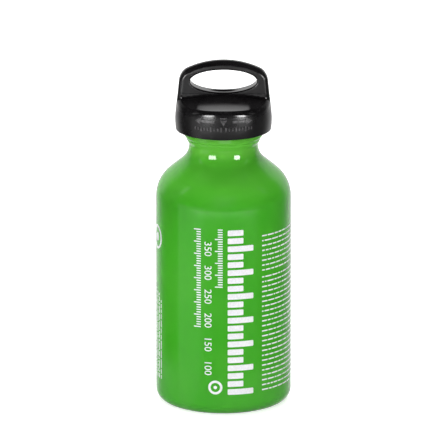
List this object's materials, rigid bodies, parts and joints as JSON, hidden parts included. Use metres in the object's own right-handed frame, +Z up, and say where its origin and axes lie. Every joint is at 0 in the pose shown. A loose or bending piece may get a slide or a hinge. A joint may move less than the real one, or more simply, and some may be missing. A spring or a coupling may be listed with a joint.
{
  "type": "camping fuel bottle",
  "caption": "Small aluminium fuel bottle for a camping stove, with a push-and-turn screw closure and a moulded carrying eye.",
  "frame": {"origin": "centre of the ring that the bottle stands on, at the surface it stands on", "axes": "+Z up along the bottle's axis; the carrying eye lies in the XZ plane and opens along Y"},
  "size_m": [0.068, 0.068, 0.1764],
  "materials": {
    "green_paint": "gloss enamel on drawn aluminium",
    "black_plastic": "satin moulded nylon",
    "grey_plastic": "moulded acetal",
    "seal_rubber": "fuel-proof nitrile",
    "spring_wire": "stainless wire"
  },
  "bodies": {
    "bottle": {"bottle_shell": "green_paint"},
    "seal": {"seal_ring": "seal_rubber"},
    "plug": {"threaded_plug": "grey_plastic"},
    "spring": {"return_spring": "spring_wire"},
    "cap": {"outer_cap": "black_plastic"}
  },
  "joints": [
    {"name": "cap_rise", "type": "slide", "parent": "bottle", "child": "seal", "axis": [0, 0, 1], "range_m": [0, 0.014]},
    {"name": "cap_turn", "type": "hinge", "parent": "seal", "child": "plug", "pos_m": [0, 0, 0.1439], "axis": [0, 0, 1], "range_deg": [0, 1440]},
    {"name": "cap_spin", "type": "hinge", "parent": "plug", "child": "spring", "pos_m": [0, 0, 0.1474], "axis": [0, 0, 1], "continuous": true},
    {"name": "cap_push", "type": "slide", "parent": "spring", "child": "cap", "axis": [0, 0, -1], "range_m": [0, 0.0018], "stiffness_N_per_m": 3000, "springref_m": -0.001, "deforming": ["return_spring"]}
  ],
  "couplings": [
    {"joint": "cap_rise", "follows": "cap_turn", "m_per_rad": 0.00055704}
  ]
}
